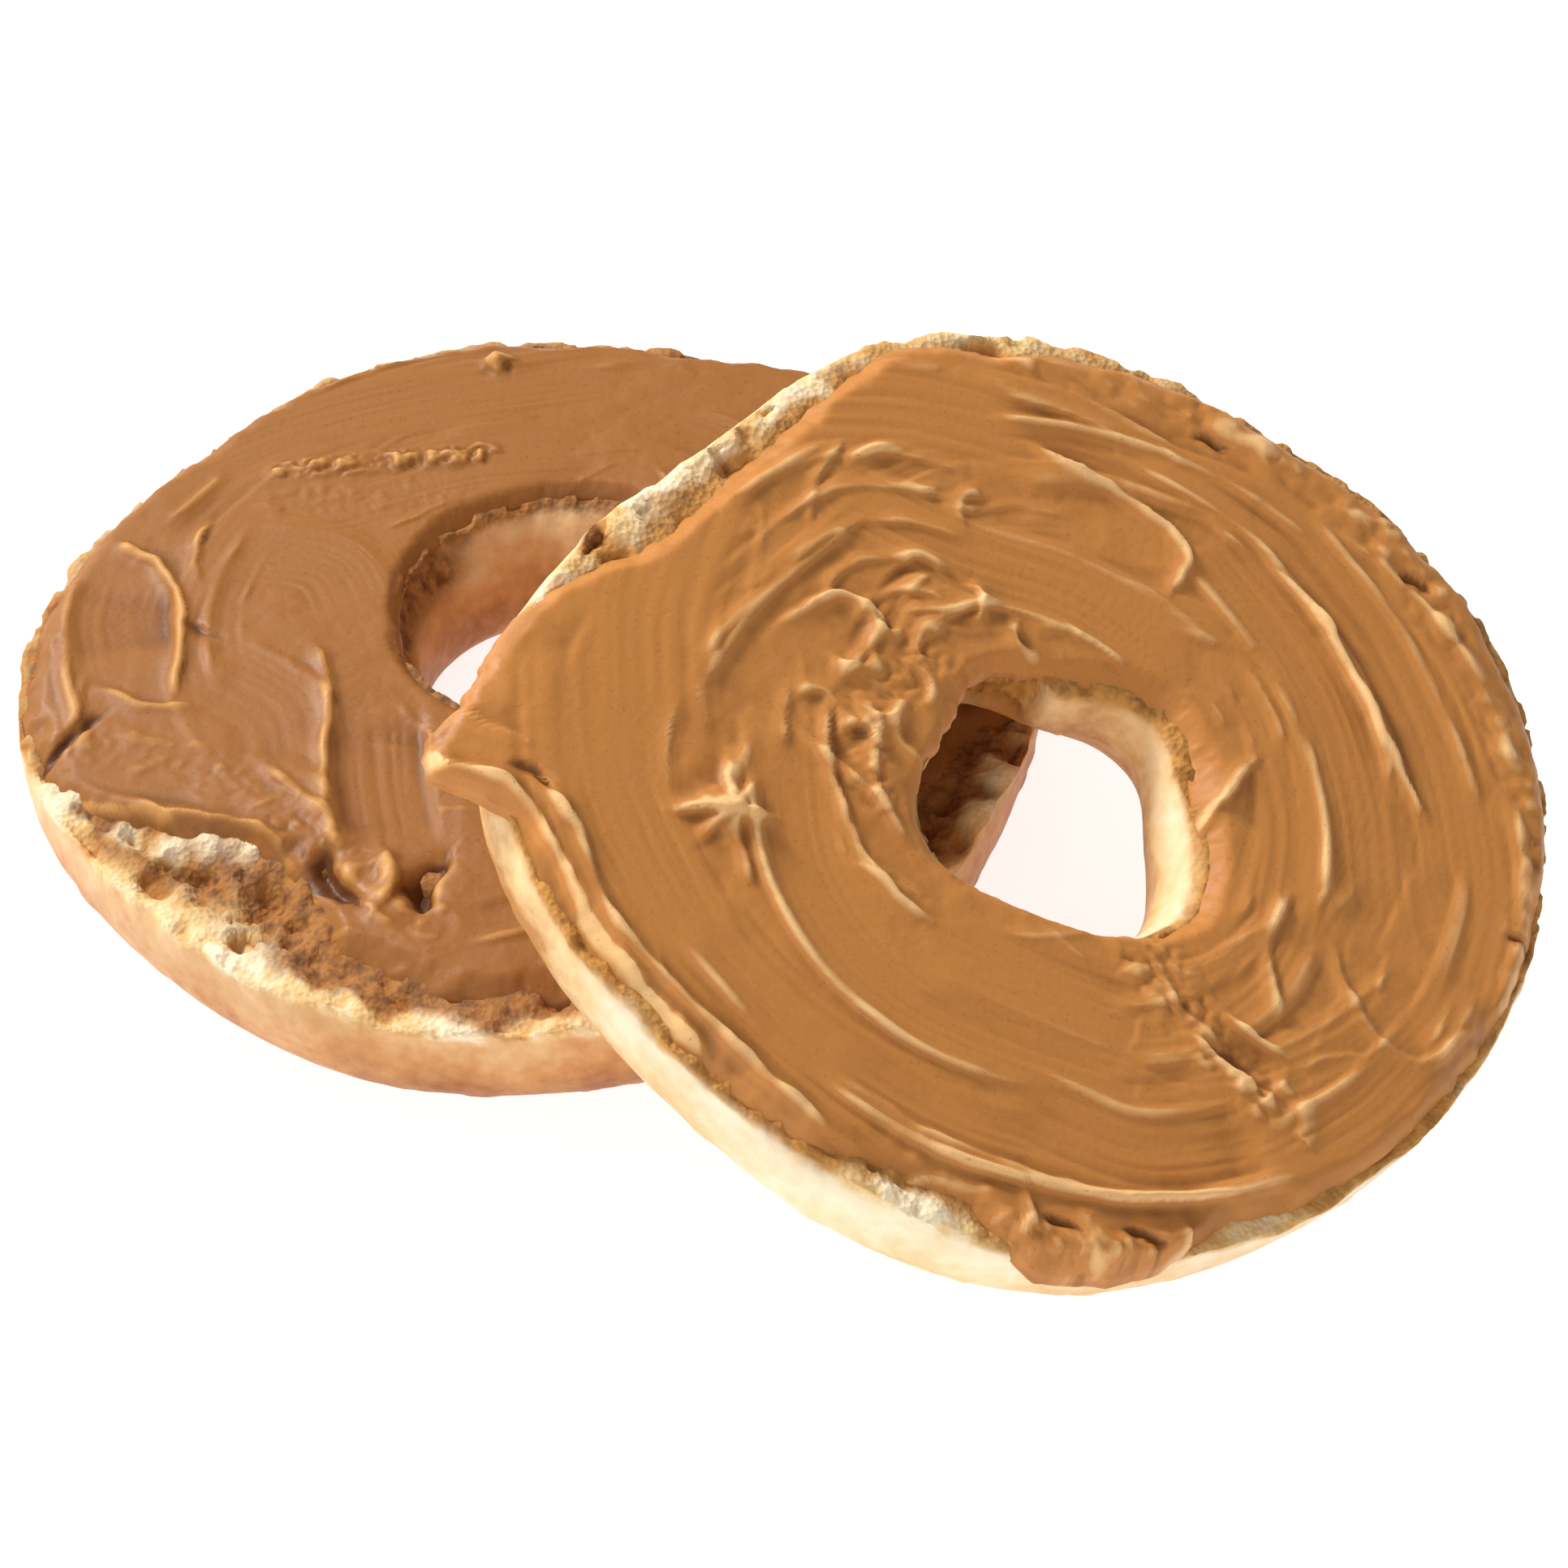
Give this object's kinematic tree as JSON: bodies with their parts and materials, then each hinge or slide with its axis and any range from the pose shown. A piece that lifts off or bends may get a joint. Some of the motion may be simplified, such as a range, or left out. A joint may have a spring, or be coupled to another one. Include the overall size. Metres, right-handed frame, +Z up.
{
  "type": "bagel",
  "caption": "Sliced bagel spread with peanut butter, one half flat on its base and the other leaning on its rim with the spread face up.",
  "frame": {"origin": "on the surface it lies on, under the middle of the box round both halves", "axes": "+X runs along the two halves, from the flat half to the leaning one; +Y points away from the side the leaning half faces; +Z is up"},
  "size_m": [0.1566, 0.1322, 0.0497],
  "materials": {
    "bread": "baked golden-brown crust, pale toasted crumb",
    "peanut_butter": "soft satin gloss, knife strokes"
  },
  "bodies": {
    "root": {"bottom_half": "bread", "bottom_half_peanut_butter": "peanut_butter", "top_half": "bread", "top_half_peanut_butter": "peanut_butter"}
  },
  "joints": []
}
